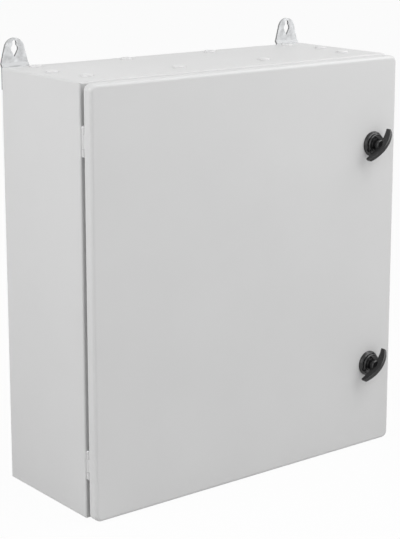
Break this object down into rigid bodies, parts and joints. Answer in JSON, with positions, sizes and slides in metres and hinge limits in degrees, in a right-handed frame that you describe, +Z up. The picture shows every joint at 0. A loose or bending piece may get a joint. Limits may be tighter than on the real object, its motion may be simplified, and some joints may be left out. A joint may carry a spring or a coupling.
{
  "type": "wall-mounted electrical distribution cabinet",
  "caption": "Folded sheet-steel wall cabinet for electrical distribution gear, with a left-hinged sealed door, quarter-turn wing locks, wall lugs, an equipment plate and a bottom gland plate.",
  "frame": {"origin": "centre of the body's base, at the height of the surface that it stands on", "axes": "+Z up, -Y out of the door, +X to the right of someone who faces the door"},
  "size_m": [0.55, 0.255, 0.64],
  "materials": {
    "cabinet_paint": "fine-textured light grey powder coat",
    "zinc_plate": "bright zinc plate",
    "galvanised_sheet": "galvanised, faint spangle",
    "lock_plastic": "satin black moulding",
    "seal_foam": "soft black foam"
  },
  "bodies": {
    "cabinet": {"body_shell": "cabinet_paint", "top_plugs": "cabinet_paint", "hinge_body_leaf_upper": "cabinet_paint", "hinge_body_leaf_lower": "cabinet_paint", "wall_lug_left": "zinc_plate", "wall_lug_right": "zinc_plate", "lug_bolts": "zinc_plate", "lug_washers": "zinc_plate", "lug_nuts": "zinc_plate", "plate_studs": "zinc_plate", "plate_spacers": "zinc_plate", "plate_washers": "zinc_plate", "plate_nuts": "zinc_plate", "gland_studs": "zinc_plate", "gland_nuts": "zinc_plate", "body_earth_stud": "zinc_plate", "body_earth_nut": "zinc_plate", "hinge_pin_upper": "zinc_plate", "hinge_pin_lower": "zinc_plate", "hinge_screws": "zinc_plate", "hinge_nuts": "zinc_plate", "mounting_plate": "galvanised_sheet", "gland_plate": "galvanised_sheet", "gland_seal": "seal_foam"},
    "door": {"door_panel": "cabinet_paint", "door_seal": "seal_foam", "hinge_side_rail": "cabinet_paint", "lock_side_rail": "cabinet_paint", "hinge_door_leaf_upper": "cabinet_paint", "hinge_door_leaf_lower": "cabinet_paint", "door_earth_stud": "zinc_plate", "door_earth_nut": "zinc_plate", "lock_housing_upper": "lock_plastic", "lock_housing_lower": "lock_plastic", "lock_seals": "seal_foam", "lock_nuts": "zinc_plate"},
    "upper_lock": {"wing_knob_upper": "lock_plastic", "lock_spindle_upper": "zinc_plate", "lock_cam_upper": "zinc_plate", "cam_screw_upper": "zinc_plate"},
    "lower_lock": {"wing_knob_lower": "lock_plastic", "lock_spindle_lower": "zinc_plate", "lock_cam_lower": "zinc_plate", "cam_screw_lower": "zinc_plate"}
  },
  "joints": [
    {"name": "door_swing", "type": "hinge", "parent": "cabinet", "child": "door", "pos_m": [-0.2715, -0.1015, 0.3], "axis": [0, 0, -1], "range_deg": [0, 115]},
    {"name": "upper_lock_turn", "type": "hinge", "parent": "door", "child": "upper_lock", "pos_m": [0.229, -0.1225, 0.47], "axis": [0, 1, 0], "range_deg": [0, 90]},
    {"name": "lower_lock_turn", "type": "hinge", "parent": "door", "child": "lower_lock", "pos_m": [0.229, -0.1225, 0.13], "axis": [0, 1, 0], "range_deg": [0, 90]}
  ]
}
